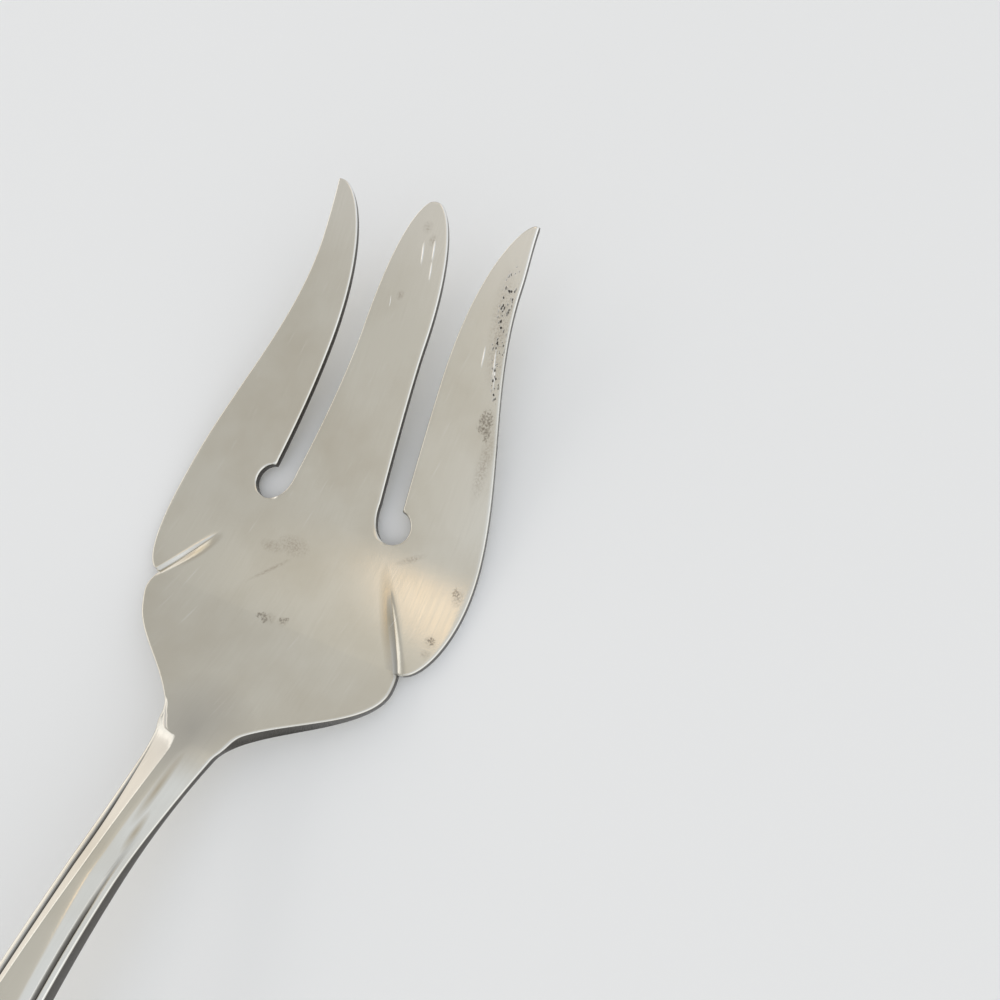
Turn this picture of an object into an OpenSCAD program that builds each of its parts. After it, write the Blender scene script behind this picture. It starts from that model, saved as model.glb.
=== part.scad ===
// Cold meat serving fork, struck from one blank: a three-tined head with pierced slots and
// pleated shoulders, a bevelled stem and an arched handle with a thread border.
// X runs across the fork, Y towards the tine tips and Z up. The fork lies on the plane Z = 0,
// and the origin is below the middle of its length.
// Stations called s are measured along Y from the shoulder notches, positive towards the tips.

/* [Overall] */
// Length of the head from the shoulder notches to the tine tips
head_l = 60.8; // [58:0.1:65]
// Length of the stem and handle from the shoulder notches to the handle end
shank_l = 159.2; // [140:0.2:180]

/* [Head outline] */
// Width across the two lobes, the widest part of the head
head_w = 47.8; // [44:0.1:52]
// Distance from the notches up to the widest part of the lobes
lobe_rise = 11.7; // [10:0.1:13.5]
// Width between the bottoms of the shoulder notches
notch_w = 38.4; // [36:0.1:40]
// Width of the bowl just below the notches
bowl_w = 39; // [37:0.1:41]
// Distance from the notches down to that width
bowl_drop = 2.3; // [1.5:0.1:3.5]
// Distance from the notches down to the neck, where the bowl has run out
bowl_l = 17.8; // [15:0.1:21]

/* [Tines] */
// Width across the outer tines where they are drawn in, just below the tips
tip_spread = 31.7; // [30:0.1:34]
// Distance from the tips back to that width
tip_back = 8; // [6:0.5:12]
// How far each outer tip flares out again
tip_flare = 0.2; // [0:0.05:0.6]
// Width of the gap that the centre tine stands in, where the outer tines are closest
gap_w = 18; // [17:0.2:19]
// Distance from the tips back to where the outer tines are closest
gap_back = 20; // [16:0.5:24]
// Width of the centre tine where its long taper ends and its tip begins
centre_w = 10.1; // [8:0.1:11]
// Width of the centre tine beside the slot roots
centre_root_w = 13.8; // [12:0.1:15]
// Length of the centre tine's rounded tip
centre_tip_l = 19; // [14:0.5:24]

/* [Slots] */
// Diameter of the round holes at the slot roots
hole_d = 4.9; // [4:0.1:5.4]
// Distance between the two hole centres
hole_pitch = 20; // [19.4:0.1:21]
// Distance from the notches up to the hole centres
hole_rise = 17.75; // [16:0.25:20]
// How far outside the hole centre the outer tine's inner edge meets the hole
hole_corner = 0.4; // [0.1:0.05:1]

/* [Thickness] */
// Thickness at the tine tips
tip_t = 1.1; // [0.8:0.05:1.5]
// Thickness at the slot roots
tine_t = 1.3; // [1.1:0.05:2]
// Thickness of the palm at the shoulder notches
palm_t = 1.5; // [1.3:0.05:2.4]
// Thickness of the neck
neck_t = 2.3; // [1.8:0.05:3.2]
// Thickness of the stem at its narrowest
stem_t = 3.4; // [2.6:0.05:4]
// Thickness of the handle where it is widest
handle_t = 2.6; // [2:0.05:3.2]
// Radius of the rounded edges of the tines
tine_edge = 0.3; // [0.2:0.05:0.5]
// Radius of the rounded edges of the palm, the stem and the handle
body_edge = 0.45; // [0.3:0.05:0.6]

/* [Side profile] */
// Distance from the notches up to the lowest point of the belly
belly_rise = 8; // [6:0.5:10]
// Radius of the belly along the fork
belly_r = 46; // [40:1:60]
// Slope of the neck
neck_slope = 19.5; // [14:0.1:22]
// Slope at which the belly runs into the tines
tine_slope = 11.7; // [9:0.1:14]
// Radius of the tines along their length
tine_r = 232; // [180:1:400]
// Radius of the arch between the stem and the handle
arch_r = 120; // [90:1:150]

/* [Shoulder pleats] */
// Height that a pleat reaches above its notch
pleat_rise = 9.8; // [8:0.1:11]
// Distance that a pleat leans in towards the middle over that height
pleat_lean = 6; // [4.5:0.1:7]
// Depth of the pleat at the notch
pleat_d = 0.55; // [0.3:0.05:0.7]
// Width of the steep side of the pleat, on the lobe
pleat_lobe_w = 0.7; // [0.5:0.05:1]
// Width of the shallow side of the pleat, on the bowl
pleat_bowl_w = 1.7; // [1.2:0.05:2.2]

/* [Stem and handle] */
// Width of the stem at its narrowest
stem_w = 6.2; // [5.6:0.1:8]
// Distance from the notches down to the narrowest part of the stem
stem_drop = 32; // [28:0.5:40]
// Flare of each side of the stem at the neck
neck_flare = 1.25; // [0.6:0.05:1.5]
// Width of the flat ridge along the stem
ridge_w = 0.9; // [0.6:0.1:1.4]
// Width of the flat between the bevels where they begin, before it narrows to the ridge
tongue_w = 2.3; // [1.6:0.1:3]
// Distance from the neck up to where the bevels start at the edges
facet_rise = 3; // [2:0.1:4]
// Length over which the bevels cut in from the edges
facet_l = 1.9; // [1.2:0.1:2.6]
// Slope of the bevels beside the ridge
bevel_slope = 21; // [10:1:28]
// Width of the handle
handle_w = 20; // [16:0.5:24]
// Length of the handle's rounded end
end_l = 21; // [16:0.5:28]
// Slope from the handle's field down to its border
field_slope = 14; // [6:1:20]
// Rise of the handle's edges at the back above its middle
back_crown = 0.5; // [0.2:0.05:0.7]

/* [Thread border] */
// Width of the flat of the raised thread, inside its rounded edge
thread_w = 0.2; // [0.1:0.05:0.5]
// Width of the groove inside the thread
groove_w = 0.7; // [0.4:0.05:1]
// Depth of that groove
groove_d = 0.3; // [0.1:0.05:0.4]

/* [Hidden] */

// Length of the whole fork, and stations along it
fork_l = head_l + shank_l;
end_s = -shank_l;
wide_s = end_s + end_l;
stem_s = -stem_drop;
neck_s = -bowl_l;
hole_r = hole_d / 2;
hole_x = hole_pitch / 2;
root_s = hole_rise - hole_r;
narrow_s = head_l - tip_back;
gap_s = head_l - gap_back;
taper_s = head_l - centre_tip_l;
// Where the sides of a slot meet its hole, on the centre tine and on the outer tine
blend_s = hole_rise + hole_r;
corner_s = hole_rise + sqrt(hole_r * hole_r - hole_corner * hole_corner);
// The bevels start at the edges, cut in slantwise to a squared corner and close in on the ridge
facet_s = neck_s + facet_rise;
facet_in = facet_s - facet_l;
facet_corner_l = 0.2;
facet_corner_w = 1.15;
facet_end = facet_in - facet_corner_l;
tongue_l = 1.5;
ridge_s = facet_end - tongue_l;
// Length over which the border grows out of the neck, and its width there as a share
thread_l = 12;
thread_start = 0.25;
// Length over which the columns of the stem become those of the palm
neck_blend_l = 6;
// Width of the pleat's lobe side at its upper end and of its bowl side at the notch, as shares,
// and its least distance to the rim
pleat_taper = 0.4;
pleat_start = 0.5;
pleat_gap = 0.3;
// Lengths below the notch over which the pleat runs out and its columns close up
pleat_out = 1;
pleat_lead = 4;
// Powers of the rounded ends, where 2 is an ellipse and more is squarer, and of the tapers
handle_power = 2.2;
sickle_power = 2.2;
lancet_power = 2.1;
taper_power = 1.5;
// Columns across half of the top, on the centre tine and on an outer tine
centre_cols = 3;
outer_cols = 5;
last_col = centre_cols + outer_cols;
ridge_cols = 4;
// Steps round each rounded edge and across the backs of the tines
edge_steps = 3;
back_centre_steps = 4;
back_outer_steps = 2;
// How blunt the ends are left, as a share of the thickness, and their width
blunt = 0.35;
end_flat = 1.6;
tip_flat = 0.5;
// The most that an edge is deepened where the outline slants, and the step that measures it
slant_limit = 1.6;
slant_step = 0.1;
// The most of a width or thickness that goes to one rounded edge, and of a width to the border
// and to the field, and the least to the ridge
edge_share = 0.45;
border_share = 0.6;
field_share = 0.9;
ridge_share = 0.1;
// What counts as nothing in a sum of sizes
tiny = 1e-9;

function smooth(t) =
    let (c = max(0, min(1, t)))
    c * c * (3 - 2 * c);
function share(a, b, t) = a + (b - a) * max(0, min(1, t));
// Quarter of a rounded end: 1 at t = 0, falling to 0 at t = 1
function round_end(t, power) =
    let (left = 1 - pow(max(0, min(1, t)), power))
    left < tiny ? 0 : sqrt(left);

// Half widths of the outline, from the handle end to the tips
function handle_half(s) =
    s < wide_s
    ? max(end_flat, handle_w * round_end((wide_s - s) / end_l, handle_power)) / 2
    : share(handle_w, stem_w, smooth((s - wide_s) / (stem_s - wide_s))) / 2;
function neck_half(s) = stem_w / 2 + neck_flare * pow(max(0, (s - stem_s) / (neck_s - stem_s)), 2);
function bowl_half(s) =
    let (t = smooth((-bowl_drop - s) / (bowl_l - bowl_drop)))
    share(bowl_w / 2, neck_half(s), t);
function corner_half(s) = share(notch_w, bowl_w, 1 - pow(1 + s / bowl_drop, 2)) / 2;
function lobe_half(s) = notch_w / 2 + (head_w - notch_w) / 2 * round_end(1 - s / lobe_rise, 2);
function flank_half(s) =
    s > narrow_s
    ? tip_spread / 2 + tip_flare * pow((s - narrow_s) / tip_back, 2)
    : share(head_w, tip_spread, smooth((s - lobe_rise) / (narrow_s - lobe_rise))) / 2;
function outer_half(s) =
    s < stem_s ? handle_half(s)
    : s < -bowl_drop ? bowl_half(s)
    : s < 0 ? corner_half(s)
    : s < lobe_rise ? lobe_half(s)
    : flank_half(s);

// Inner edge of an outer tine: the hole, the side of the slot, then the sickle-shaped tip
function slot_half(s) =
    s < corner_s
    ? hole_x + hole_r * round_end(abs(s - hole_rise) / hole_r, 2)
    : s < gap_s
    ? share(gap_w / 2, hole_x + hole_corner, pow((gap_s - s) / (gap_s - corner_s), taper_power))
    : share(tip_spread / 2 - tip_flat, gap_w / 2,
            round_end((s - gap_s) / gap_back, sickle_power));

// Half width of the centre tine: round the hole, the long taper, then the rounded tip
function taper_half(s) =
    let (t = max(0, (taper_s - s) / (taper_s - blend_s)))
    share(centre_w, centre_root_w, pow(t, taper_power)) / 2;
function centre_half(s) =
    s < blend_s
    ? share(hole_x, taper_half(blend_s), round_end((blend_s - s) / hole_d, 2))
    : s < taper_s ? taper_half(s)
    : max(tip_flat, centre_w * round_end((s - taper_s) / centre_tip_l, lancet_power)) / 2;

// Side profile of the back: belly and tine arcs, the straight neck, the arch, the straight handle
tine_from = belly_rise + belly_r * sin(tine_slope);
tine_mid = [tine_from - tine_r * sin(tine_slope),
            belly_r * (1 - cos(tine_slope)) + tine_r * cos(tine_slope)];
neck_from = belly_rise - belly_r * sin(neck_slope);
neck_z = belly_r * (1 - cos(neck_slope));
arch_z = neck_z + (neck_from - neck_s) * tan(neck_slope);
arch_mid = [neck_s - arch_r * sin(neck_slope), arch_z - arch_r * cos(neck_slope)];
// The straight handle runs from the arch to the table, as a tangent from the handle end
reach = arch_mid - [end_s, 0];
handle_slope = atan2(reach[1], reach[0]) + asin(arch_r / norm(reach));
arch_to = arch_mid[0] - arch_r * sin(handle_slope);
function back_z(s) =
    s > tine_from ? tine_mid[1] - sqrt(tine_r * tine_r - pow(s - tine_mid[0], 2))
    : s > neck_from ? belly_r - sqrt(belly_r * belly_r - pow(s - belly_rise, 2))
    : s > neck_s ? neck_z + (neck_from - s) * tan(neck_slope)
    : s > arch_to ? arch_mid[1] + sqrt(arch_r * arch_r - pow(s - arch_mid[0], 2))
    : (s - end_s) * tan(handle_slope);

// Thickness along the fork, drawn in to a blunt edge at both ends
function plain_t(s) =
    lookup(s, [[wide_s, handle_t], [stem_s, stem_t], [neck_s, neck_t], [0, palm_t],
               [root_s, tine_t], [head_l, tip_t]]);
function thick(s) =
    let (gap = min(s - end_s, head_l - s), full = plain_t(s))
    full * max(blunt, round_end(1 - gap / full, 2));
function top_z(s) = back_z(s) + (plain_t(s) + thick(s)) / 2;
function low_z(s) = back_z(s) + (plain_t(s) - thick(s)) / 2;

// Radius of a rounded edge, and its depth across the fork, more where the outline slants
function slant(now, then) = min(slant_limit, norm([1, (now - then) / slant_step]));
function edge_r(s) = lookup(s, [[neck_s, body_edge], [lobe_rise, tine_edge]]);
function body_depth(s) =
    min(edge_r(s) * slant(outer_half(s), outer_half(s - slant_step)), outer_half(s) * edge_share);
function slot_depth(s) = tine_edge * min(1, (s - root_s) / hole_r);

// Distance of a point from the edge of the handle, measured across it and round its end
function end_at(x) =
    let (across = 1 - pow(min(1, 2 * x / handle_w), 2))
    end_s + end_l * (1 - pow(across, 1 / handle_power));
function inset(x, s) =
    let (across = max(tiny, outer_half(s) - x), along = max(tiny, s - end_at(x)))
    s > wide_s ? across : across * along / norm([across, along]);

// Top of the stem and handle, from the edge inwards: thread, groove, bevel, then the flat ridge,
// which widens into the handle's field
function thread_part(s) = share(thread_start, 1, smooth((facet_end - s) / thread_l));
function border(s) = thread_part(s) * (thread_w + groove_w);
function rim_half(s) = outer_half(s) - body_depth(s);
field_half = (handle_w / 2 - body_edge - thread_w - groove_w) * field_share;
function ridge_half(s) =
    lookup(s, [[wide_s, field_half], [stem_s, ridge_w / 2], [ridge_s, ridge_w / 2],
               [facet_end, tongue_w / 2], [facet_in, tongue_w / 2 + facet_corner_w],
               [facet_s, rim_half(facet_s)]]);
function ridge_inset(s) = s < wide_s ? handle_w / 2 - field_half : outer_half(s) - ridge_half(s);
function stem_columns(s) =
    let (rim = rim_half(s), fit = min(1, rim * border_share / border(s)),
         wide = fit * border(s), thread = fit * thread_part(s) * thread_w,
         ridge = min(outer_half(s) - ridge_inset(s), (rim - wide) * field_share),
         field = max(ridge, rim * ridge_share))
    [for (k = [0:ridge_cols]) field * k / ridge_cols,
     rim - wide, rim - (wide + thread) / 2, rim - thread, rim];
function stem_relief(x, s) =
    let (deep = inset(x, s), part = thread_part(s),
         middle = body_edge + part * (thread_w + groove_w / 2),
         slope = lookup(s, [[wide_s, field_slope], [stem_s, bevel_slope]]),
         grown = min(1, (facet_s - s) / max(tiny, ridge_inset(s) - body_depth(s))),
         bevel = tan(slope) * grown * max(0, ridge_inset(s) - deep),
         groove = groove_d * max(0, 1 - 2 * abs(deep - middle) / (part * groove_w)))
    s > facet_s ? 0 : bevel + groove * pow(smooth((facet_end - s) / thread_l), 2);

// Top of the palm: the pleat runs in from the notch, and the columns make room for it
function pleat_x(s) = notch_w / 2 - pleat_lean * s / pleat_rise;
function pleat_lobe(s) = pleat_lobe_w * share(1, pleat_taper, s / pleat_rise);
function pleat_bowl(s) = pleat_bowl_w * share(pleat_start, 1, 2 * s / pleat_rise);
function palm_columns(s) =
    let (rim = rim_half(s), zone = share(rim / 2, hole_x, s / root_s),
         even = [for (k = [0:outer_cols]) zone + (rim - zone) * k / outer_cols],
         x = min(pleat_x(s), rim - pleat_gap), lobe = min(pleat_lobe(s), (rim - x) / 2),
         held = [zone, x - pleat_bowl(s), x, x + lobe, (x + lobe + rim) / 2, rim],
         hold = smooth(1 + s / pleat_lead) * smooth((root_s - s) / (root_s - pleat_rise)))
    concat([for (k = [0:centre_cols - 1]) zone * k / centre_cols],
           [for (k = [0:outer_cols]) share(even[k], held[k], hold)]);
function palm_relief(x, s) =
    let (up = s < 0 ? 1 + s / pleat_out : 1 - pow(s / pleat_rise, 2), off = x - pleat_x(s),
         away = off > 0 ? off / pleat_lobe(s) : -off / pleat_bowl(s))
    pleat_d * max(0, up) * max(0, 1 - away);

// Columns of the whole palm and handle, blended above the bevels
function neck_part(s) = smooth((facet_s + neck_blend_l - s) / neck_blend_l);
function columns(s) =
    let (a = palm_columns(s), b = stem_columns(s))
    [for (k = [0:last_col]) share(a[k], b[k], neck_part(s))];

// Rings run along the top from left to right, down the right edge, back underneath and up again
function reverse(list) = [for (k = [len(list) - 1:-1:0]) list[k]];
function edge_line(x, depth, r, top, low, side) =
    let (fall = min(r, (top - low) * edge_share),
         round = [for (k = [1:edge_steps])
             let (turn = 90 * k / edge_steps)
             [x + side * depth * sin(turn), fall * (1 - cos(turn))]])
    concat([for (p = round) [p[0], top - p[1]]], [for (p = reverse(round)) [p[0], low + p[1]]]);
function at(s, list) = [for (p = list) [p[0], s + fork_l / 2 - head_l, p[1]]];

function body_ring(s) =
    let (x = columns(s), rim = x[last_col], top = top_z(s), low = low_z(s),
         side = [for (p = x) [p, top - (palm_relief(p, s) + stem_relief(p, s)) * thick(s) / plain_t(s)]],
         crown = back_crown * neck_part(s) * thick(s) / plain_t(s),
         zone = x[centre_cols],
         back_x = [for (k = [0:back_centre_steps / 2]) zone * k * 2 / back_centre_steps,
                   for (k = [1:back_outer_steps]) zone + (rim - zone) * k / back_outer_steps],
         back = [for (b = back_x) [b, low + crown * pow(b / rim, 2)]],
         edge = edge_line(rim, outer_half(s) - rim, edge_r(s), side[last_col][1], low + crown, 1),
         half = concat(side, edge, reverse(back)))
    at(s, concat([for (k = [last_col:-1:1]) [-side[k][0], side[k][1]]], half,
                 [for (k = [1:len(back) - 1]) [-back[k][0], back[k][1]]],
                 [for (p = reverse(edge)) [-p[0], p[1]]]));

// A tine between its left and right sides
function tine_ring(s, left, right, left_depth, right_depth, top_x, back_steps) =
    let (top = top_z(s), low = low_z(s), a = left + left_depth, b = right - right_depth)
    at(s, concat([for (x = top_x) [x, top]],
                 edge_line(b, right_depth, tine_edge, top, low, 1),
                 [for (k = [back_steps:-1:0]) [a + (b - a) * k / back_steps, low]],
                 reverse(edge_line(a, left_depth, tine_edge, top, low, -1))));
function centre_ring(s) =
    let (w = centre_half(s), depth = min(slot_depth(s), w * edge_share), x = w - depth)
    tine_ring(s, -w, w, depth, depth,
              [for (k = [-centre_cols:centre_cols]) x * k / centre_cols], back_centre_steps);
function outer_ring(s) =
    let (left = slot_half(s), right = outer_half(s), wide = (right - left) * edge_share,
         in_depth = min(slot_depth(s), wide), out_depth = min(body_depth(s), wide),
         a = left + in_depth, b = right - out_depth)
    tine_ring(s, left, right, in_depth, out_depth,
              [for (k = [0:outer_cols]) a + (b - a) * k / outer_cols], back_outer_steps);
function mirrored(ring) = reverse([for (p = ring) [-p[0], p[1], p[2]]]);

// Stations of the rings, closer together where the outline turns
function run(from, to, n) = [for (k = [0:n - 1]) from + (to - from) * k / n];
function run_out(from, to, n) = [for (k = [0:n - 1]) from + (to - from) * sin(90 * k / n)];
function run_in(from, to, n) = [for (k = [0:n - 1]) from + (to - from) * (1 - cos(90 * k / n))];
body_stations = concat(
    run_in(end_s, wide_s, 14), run(wide_s, stem_s, 18), run(stem_s, ridge_s, 7),
    run(ridge_s, facet_end, 2), run(facet_end, facet_in, 1), run(facet_in, facet_s, 4),
    run(facet_s, -bowl_drop, 11),
    run_out(-bowl_drop, 0, 3), run_in(0, lobe_rise, 14), run(lobe_rise, root_s, 3), [root_s]);
hole_stations = [for (turn = [0:18:162]) hole_rise - hole_r * cos(turn)];
tine_stations = concat(hole_stations, [corner_s], run(blend_s + hole_corner, taper_s, 10),
                       run_out(taper_s, head_l, 16), [head_l]);

// A skin is a tube of triangles through its rings, with a hub that closes its free end
function skin(rings, from) =
    let (n = len(rings[0]))
    [for (r = [0:len(rings) - 2], k = [0:n - 1])
        let (a = from + r * n + k, b = from + r * n + (k + 1) % n)
        each [[a, a + n, b + n], [a, b + n, b]]];
function fan(n, from, hub, turn) =
    [for (k = [0:n - 1])
        let (a = from + k, b = from + (k + 1) % n)
        turn > 0 ? [hub, a, b] : [hub, b, a]];
function middle(ring) = [for (p = ring) 1] * ring / len(ring);
function sum_to(list, n) = n == 0 ? 0 : list[n - 1] + sum_to(list, n - 1);

module fork() {
    body = [for (s = body_stations) body_ring(s)];
    centre = [for (s = tine_stations) centre_ring(s)];
    right = [for (s = tine_stations) outer_ring(s)];
    left = [for (ring = right) mirrored(ring)];
    skins = [body, centre, right, left];
    free_rings = [body[0], for (k = [1:3]) skins[k][len(skins[k]) - 1]];
    sizes = [for (rings = skins) len(rings) * len(rings[0])];
    starts = [for (k = [0:4]) sum_to(sizes, k)];
    color([0.78, 0.77, 0.73])
        polyhedron(
            points = concat(
                [for (rings = skins, ring = rings) each ring],
                [for (ring = free_rings) middle(ring)]),
            faces = concat(
                [for (k = [0:3]) each skin(skins[k], starts[k])],
                fan(len(body[0]), 0, starts[4], 1),
                [for (k = [1:3])
                    let (n = len(skins[k][0]))
                    each fan(n, starts[k + 1] - n, starts[4] + k, -1)]));
}

fork();
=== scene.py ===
# %% [markdown]
# # A cold meat serving fork
# A serving fork for sliced meat is one piece of metal. A blank is rolled thinner towards the tines,
# cut out, struck between two dies, pierced between the tines, filed, plated with silver and polished.
# So there is one piece to make here, and all the work is in its surface: outline, edges, relief, wear.

# %% The frame and the tools
import bmesh
import bpy
import numpy as np
from mathutils import Matrix, Vector


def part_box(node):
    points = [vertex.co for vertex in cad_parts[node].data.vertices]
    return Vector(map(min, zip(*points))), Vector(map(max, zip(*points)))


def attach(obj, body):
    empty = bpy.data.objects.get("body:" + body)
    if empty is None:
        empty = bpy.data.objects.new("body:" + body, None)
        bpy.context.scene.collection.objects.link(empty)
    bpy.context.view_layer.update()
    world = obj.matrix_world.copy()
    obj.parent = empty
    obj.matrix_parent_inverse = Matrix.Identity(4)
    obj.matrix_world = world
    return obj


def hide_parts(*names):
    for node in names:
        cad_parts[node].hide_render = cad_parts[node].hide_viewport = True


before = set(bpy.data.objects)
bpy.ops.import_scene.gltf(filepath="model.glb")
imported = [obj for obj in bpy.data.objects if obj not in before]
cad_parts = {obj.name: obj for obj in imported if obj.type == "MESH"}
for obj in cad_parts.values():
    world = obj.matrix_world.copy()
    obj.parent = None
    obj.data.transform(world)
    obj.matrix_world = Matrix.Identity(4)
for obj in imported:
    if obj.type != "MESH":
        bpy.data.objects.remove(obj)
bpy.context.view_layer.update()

MM = 0.001
low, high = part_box("fork")
fork_l = (high.y - low.y) / MM
head_w = (high.x - low.x) / MM
print(f"frame: fork {fork_l:.1f} mm long, head {head_w:.1f} mm wide")

# %% [markdown]
# ## Blending helpers
# Flatware has few straight lines: every stretch of the outline eases into the next one. Bezier curves
# would need handles for each stretch. Four short formulas do the same job and work on whole arrays.

# %% Blending helpers
def smooth(t):
    """Ease from 0 to 1: three times t squared less twice t cubed, held at the ends."""
    c = np.clip(t, 0, 1)
    return c * c * (3 - 2 * c)


def share(a, b, t):
    """Straight mix: a where t is 0, b where t is 1, held at the ends."""
    return a + (b - a) * np.clip(t, 0, 1)


def round_end(t, power=2):
    """Quarter of a rounded end: the root of one less t to a power; power 2 is an ellipse."""
    return np.sqrt(np.maximum(0, 1 - np.clip(t, 0, 1) ** power))


def soft_positive(v, radius):
    """Zero below nothing and v above it, with the corner rounded over the given radius."""
    return (v + np.sqrt(v * v + radius * radius)) / 2


print("helpers: smooth, share, round_end, soft_positive")

# %% [markdown]
# ## The outline
# Places along the fork are stations, in millimetres from the shoulder notches towards the tips. The
# head has a bowl below the notches and two lobes above them, and the lobes run out into the tines.
# It could be traced with a curve, but half widths as functions of the station keep both sides alike,
# as the dies did.

# %% The outline of the head, the stem and the handle
# The head: its length above the notches, where the lobes are widest, the notches and the bowl
head_l = 60.8
lobe_rise = 11.7
notch_w = 38.4
bowl_w = 39.0
bowl_drop = 2.3
bowl_l = 17.8
# The outer tips: how far apart they are, and how they turn out over the last stretch
tip_spread = 31.7
tip_back = 8.0
tip_flare = 0.2
# The stem and the handle; a power above 2 makes the handle's end squarer than an ellipse
stem_w = 6.2
stem_drop = 32.0
neck_flare = 1.25
handle_w = 20.0
end_l = 21.0
handle_power = 2.2
end_flat = 0.4

end_s = head_l - fork_l
wide_s = end_s + end_l
stem_s = -stem_drop
neck_s = -bowl_l
narrow_s = head_l - tip_back


def outer_half(s):
    """Half width: rounded handle end, taper to the stem, bowl, notch corner, lobe, tine, tip."""
    end = np.maximum(end_flat, handle_w * round_end((wide_s - s) / end_l, handle_power)) / 2
    taper = share(handle_w, stem_w, smooth((s - wide_s) / (stem_s - wide_s))) / 2
    neck = stem_w / 2 + neck_flare * np.maximum(0, (s - stem_s) / (neck_s - stem_s)) ** 2
    bowl = share(bowl_w / 2, neck, smooth((-bowl_drop - s) / (bowl_l - bowl_drop)))
    corner = share(notch_w, bowl_w, 1 - (1 + s / bowl_drop) ** 2) / 2
    lobe = notch_w / 2 + (head_w - notch_w) / 2 * round_end(1 - s / lobe_rise)
    flank = share(head_w, tip_spread, smooth((s - lobe_rise) / (narrow_s - lobe_rise))) / 2
    tip = tip_spread / 2 + tip_flare * ((s - narrow_s) / tip_back) ** 2
    ends = [s < wide_s, s < stem_s, s < -bowl_drop, s < 0, s < lobe_rise, s < narrow_s]
    return np.select(ends, [end, taper, bowl, corner, lobe, flank], tip)


print("outline: half width at the lobes", outer_half(np.array([lobe_rise])))

# %% [markdown]
# ## The slots
# The slots were pierced with a keyhole tool: a round hole at the root, then a long cut. On the centre
# tine the hole runs smoothly into the side. On the outer tine it meets the side in a small corner.
# The outer tips are hooked like sickles and the centre tip is a rounded lancet. Boolean cuts would leave
# edges that are hard to round, so each side of a slot is a half width of the tine beside it.

# %% The edges beside the slots
# The holes at the slot roots, and the small corner on the outer tine
hole_d = 4.9
hole_pitch = 20.0
hole_rise = 17.75
hole_corner = 0.4
# The gap between the outer tines at its narrowest, and the sickle ends, filed to a point on the right
gap_w = 18.0
gap_back = 20.0
sickle_power = 2.2
point_sharp = 0.25
point_in = 0.45
# The centre tine and its lancet end
centre_w = 10.1
centre_root_w = 13.8
centre_tip_l = 19.0
lancet_power = 2.2
# The tines taper by this power, and their tips are this wide
taper_power = 1.5
tip_flat = 0.3

hole_r = hole_d / 2
hole_x = hole_pitch / 2
root_s = hole_rise - hole_r
blend_s = hole_rise + hole_r
corner_s = hole_rise + np.sqrt(hole_r ** 2 - hole_corner ** 2)
gap_s = head_l - gap_back
taper_s = head_l - centre_tip_l


def slot_half(s, point=0):
    """Inner edge of an outer tine: a circle round the hole, a power taper, then a sickle end. With point
    at 1 the end is filed sharper and further in, as on the right tine."""
    hole = hole_x + hole_r * round_end(np.abs(s - hole_rise) / hole_r)
    climb = np.maximum(0, (gap_s - s) / (gap_s - corner_s)) ** taper_power
    cut = share(gap_w / 2, hole_x + hole_corner, climb)
    bend = round_end((s - gap_s) / gap_back, sickle_power) ** (1 + point_sharp * point)
    sickle = share(tip_spread / 2 + tip_flare - tip_flat - point_in * point, gap_w / 2, bend)
    return np.select([s < corner_s, s < gap_s], [hole, cut], sickle)


def flank_half(s, point):
    """Outer edge of an outer tine: the outline, eased in towards a point that was filed sharper."""
    return outer_half(s) - point_in * point * smooth((s - narrow_s) / tip_back)


def taper_half(s):
    """Half width along the centre tine's long taper, which straightens towards the tip."""
    climb = np.maximum(0, (taper_s - s) / (taper_s - blend_s)) ** taper_power
    return share(centre_w, centre_root_w, climb) / 2


def centre_half(s):
    """Half width of the centre tine: a quarter ellipse round the hole, the taper, the lancet."""
    hole = share(hole_x, taper_half(blend_s), round_end((blend_s - s) / hole_d))
    tip = centre_w * round_end((s - taper_s) / centre_tip_l, lancet_power)
    return np.select([s < blend_s, s < taper_s], [hole, taper_half(s)], np.maximum(tip_flat, tip) / 2)


middle_s = np.array([gap_s])
print("slots: gap at the closest", slot_half(middle_s) - centre_half(middle_s))

# %% [markdown]
# ## The side profile
# Seen from the side, the belly of the head is an arc that runs into the long, flatter arc of the
# tines. The neck climbs straight, the stem arches over, and the handle comes down to the table again.
# A Curve modifier could bend a flat fork, but it would stretch the slots. So the back carries these
# arcs and the thickness is laid on top of it, as in rolling and striking.

# %% The back and the thickness
# The belly's lowest station, the radii of the arcs, and the slopes at which they meet
belly_rise = 8.0
belly_r = 46.0
neck_slope = np.radians(19.5)
tine_slope = np.radians(11.7)
tine_r = 232.0
arch_r = 120.0

tine_from = belly_rise + belly_r * np.sin(tine_slope)
tine_mid_s = tine_from - tine_r * np.sin(tine_slope)
tine_mid_z = belly_r * (1 - np.cos(tine_slope)) + tine_r * np.cos(tine_slope)
neck_from = belly_rise - belly_r * np.sin(neck_slope)
neck_z = belly_r * (1 - np.cos(neck_slope))
arch_s = neck_s - arch_r * np.sin(neck_slope)
arch_z = neck_z + (neck_from - neck_s) * np.tan(neck_slope) - arch_r * np.cos(neck_slope)
reach = np.hypot(arch_s - end_s, arch_z)
handle_slope = np.arctan2(arch_z, arch_s - end_s) + np.arcsin(arch_r / reach)
arch_to = arch_s - arch_r * np.sin(handle_slope)


def arc(s, mid, radius):
    """Height of a circle above its middle at a station."""
    return np.sqrt(np.maximum(0, radius ** 2 - (s - mid) ** 2))


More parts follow.
